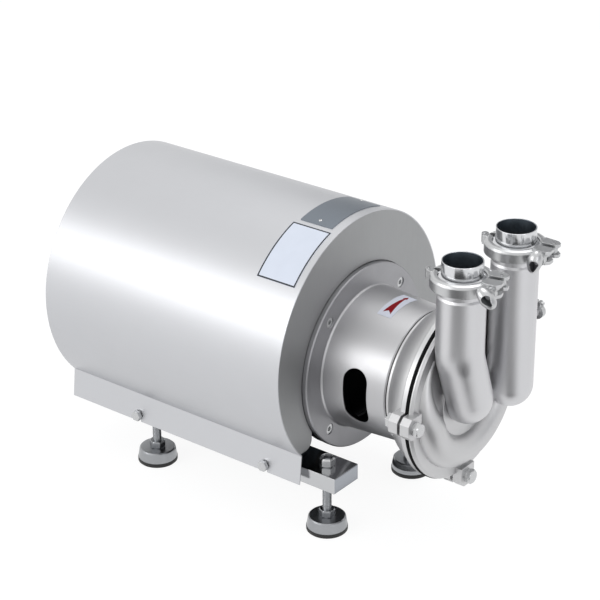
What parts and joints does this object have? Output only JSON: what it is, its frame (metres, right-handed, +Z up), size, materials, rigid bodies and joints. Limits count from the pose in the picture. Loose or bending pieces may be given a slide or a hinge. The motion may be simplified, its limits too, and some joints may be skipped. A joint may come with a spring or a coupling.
{
  "type": "sanitary centrifugal pump",
  "caption": "Close-coupled sanitary centrifugal pump: shrouded motor on levelling feet, round casing with a spiral channel, and twin upright clamped ports.",
  "frame": {"origin": "centre of the pump's bounding box on the floor", "axes": "+X along the shaft from the motor to the pump head, +Z up, -Y is the side with the suction port"},
  "size_m": [0.657, 0.3456, 0.424],
  "materials": {
    "rail": "bar with a bright ground top and satin sides",
    "fastener": "bright stainless fastener",
    "motor_paint": "grey enamel",
    "motor_core": "laminated steel with varnish",
    "shaft_steel": "ground steel",
    "fan_plastic": "matt moulded plastic",
    "cowl_paint": "grey enamel on sheet",
    "black_plastic": "matt moulded plastic",
    "shroud_sheet": "satin rolled stainless sheet",
    "pump_casting": "blasted and satin stainless",
    "pump_pipe": "satin stainless tube",
    "polished_ferrule": "mirror polished stainless",
    "clamp_casting": "tumbled bright casting",
    "seal_face": "lapped carbon and ceramic",
    "black_rubber": "moulded rubber",
    "pad_metal": "turned steel with a dark sheen"
  },
  "bodies": {
    "base": {"rail_left": "rail", "rail_right": "rail", "foot_lock_nuts": "fastener", "motor_frame": "motor_paint", "motor_front_shield": "motor_paint", "motor_rear_shield": "motor_paint", "stator": "motor_core", "bearing_outer_rings": "shaft_steel", "fan_cowl": "cowl_paint", "terminal_box": "motor_paint", "terminal_box_lid": "motor_paint", "cable_gland": "black_plastic", "motor_foot_bolts": "fastener", "shroud_shell": "shroud_sheet", "shroud_front_plate": "shroud_sheet", "shroud_rear_plate": "shroud_sheet", "shroud_bolts": "fastener", "lantern": "pump_casting", "adapter_bolts": "fastener", "back_cover": "pump_casting", "casing_gasket": "black_rubber", "front_casing": "pump_casting", "casing_bolts": "fastener", "seal_seat": "seal_face", "suction_pipe": "pump_pipe", "discharge_pipe": "pump_pipe", "port_gaskets": "black_rubber", "clamp_pins": "fastener", "side_port_cap": "pump_pipe", "side_port_clamp": "clamp_casting", "suction_ferrule": "polished_ferrule", "suction_clamp_fixed_half": "clamp_casting", "discharge_ferrule": "polished_ferrule", "discharge_clamp_fixed_half": "clamp_casting"},
    "rotor": {"motor_shaft": "shaft_steel", "rotor_core": "motor_core", "cooling_fan": "fan_plastic", "bearing_inner_rings": "shaft_steel", "pump_shaft": "shaft_steel", "impeller": "pump_casting", "impeller_nut": "fastener", "seal_ring": "seal_face"},
    "front_left_pad": {"foot_pad_front_left": "pad_metal", "foot_sole_front_left": "black_rubber"},
    "front_left_stud": {"foot_stud_front_left": "fastener"},
    "front_right_pad": {"foot_pad_front_right": "pad_metal", "foot_sole_front_right": "black_rubber"},
    "front_right_stud": {"foot_stud_front_right": "fastener"},
    "rear_left_pad": {"foot_pad_rear_left": "pad_metal", "foot_sole_rear_left": "black_rubber"},
    "rear_left_stud": {"foot_stud_rear_left": "fastener"},
    "rear_right_pad": {"foot_pad_rear_right": "pad_metal", "foot_sole_rear_right": "black_rubber"},
    "rear_right_stud": {"foot_stud_rear_right": "fastener"},
    "suction_swing_bolt": {"suction_clamp_bolt": "clamp_casting"},
    "suction_nut": {"suction_wing_nut": "clamp_casting"},
    "suction_near_half": {"suction_clamp_moving_half": "clamp_casting"},
    "discharge_swing_bolt": {"discharge_clamp_bolt": "clamp_casting"},
    "discharge_nut": {"discharge_wing_nut": "clamp_casting"},
    "discharge_near_half": {"discharge_clamp_moving_half": "clamp_casting"}
  },
  "joints": [
    {"name": "rotor_spin", "type": "hinge", "parent": "base", "child": "rotor", "pos_m": [0.07748, 0, 0.212], "axis": [1, 0, 0], "continuous": true},
    {"name": "front_left_foot_travel", "type": "slide", "parent": "base", "child": "front_left_pad", "axis": [0, 0, 1], "range_m": [-0.007, 0.007]},
    {"name": "front_left_stud_turn", "type": "hinge", "parent": "front_left_pad", "child": "front_left_stud", "pos_m": [0.08748, -0.09501, 0.096], "axis": [0, 0, 1], "range_deg": [-1440, 1440]},
    {"name": "front_right_foot_travel", "type": "slide", "parent": "base", "child": "front_right_pad", "axis": [0, 0, 1], "range_m": [-0.007, 0.007]},
    {"name": "front_right_stud_turn", "type": "hinge", "parent": "front_right_pad", "child": "front_right_stud", "pos_m": [0.08748, 0.09501, 0.096], "axis": [0, 0, 1], "range_deg": [-1440, 1440]},
    {"name": "rear_left_foot_travel", "type": "slide", "parent": "base", "child": "rear_left_pad", "axis": [0, 0, 1], "range_m": [-0.007, 0.007]},
    {"name": "rear_left_stud_turn", "type": "hinge", "parent": "rear_left_pad", "child": "rear_left_stud", "pos_m": [-0.20752, -0.09501, 0.096], "axis": [0, 0, 1], "range_deg": [-1440, 1440]},
    {"name": "rear_right_foot_travel", "type": "slide", "parent": "base", "child": "rear_right_pad", "axis": [0, 0, 1], "range_m": [-0.007, 0.007]},
    {"name": "rear_right_stud_turn", "type": "hinge", "parent": "rear_right_pad", "child": "rear_right_stud", "pos_m": [-0.20752, 0.09501, 0.096], "axis": [0, 0, 1], "range_deg": [-1440, 1440]},
    {"name": "suction_bolt_swing", "type": "hinge", "parent": "base", "child": "suction_swing_bolt", "pos_m": [0.30484, -0.04205, 0.397], "axis": [0, 0, 1], "range_deg": [0, 95]},
    {"name": "suction_nut_travel", "type": "slide", "parent": "suction_swing_bolt", "child": "suction_nut", "axis": [0.225, -0.9744, 0], "range_m": [0, 0.01]},
    {"name": "suction_clamp_open", "type": "hinge", "parent": "base", "child": "suction_near_half", "pos_m": [0.22206, -0.07245, 0.397], "axis": [0, 0, -1], "range_deg": [0, 5.4]},
    {"name": "discharge_bolt_swing", "type": "hinge", "parent": "base", "child": "discharge_swing_bolt", "pos_m": [0.30709, 0.0697, 0.4], "axis": [0, 0, 1], "range_deg": [0, 95]},
    {"name": "discharge_nut_travel", "type": "slide", "parent": "discharge_swing_bolt", "child": "discharge_nut", "axis": [0.1045, -0.9945, 0], "range_m": [0, 0.01]},
    {"name": "discharge_clamp_open", "type": "hinge", "parent": "base", "child": "discharge_near_half", "pos_m": [0.22121, 0.04961, 0.4], "axis": [0, 0, -1], "range_deg": [0, 5.4]}
  ],
  "couplings": [
    {"joint": "front_left_stud_turn", "follows": "front_left_foot_travel", "rad_per_m": 3590},
    {"joint": "front_right_stud_turn", "follows": "front_right_foot_travel", "rad_per_m": 3590},
    {"joint": "rear_left_stud_turn", "follows": "rear_left_foot_travel", "rad_per_m": 3590},
    {"joint": "rear_right_stud_turn", "follows": "rear_right_foot_travel", "rad_per_m": 3590},
    {"joint": "suction_clamp_open", "follows": "suction_nut_travel", "rad_per_m": 9.4238},
    {"joint": "discharge_clamp_open", "follows": "discharge_nut_travel", "rad_per_m": 9.4238}
  ]
}
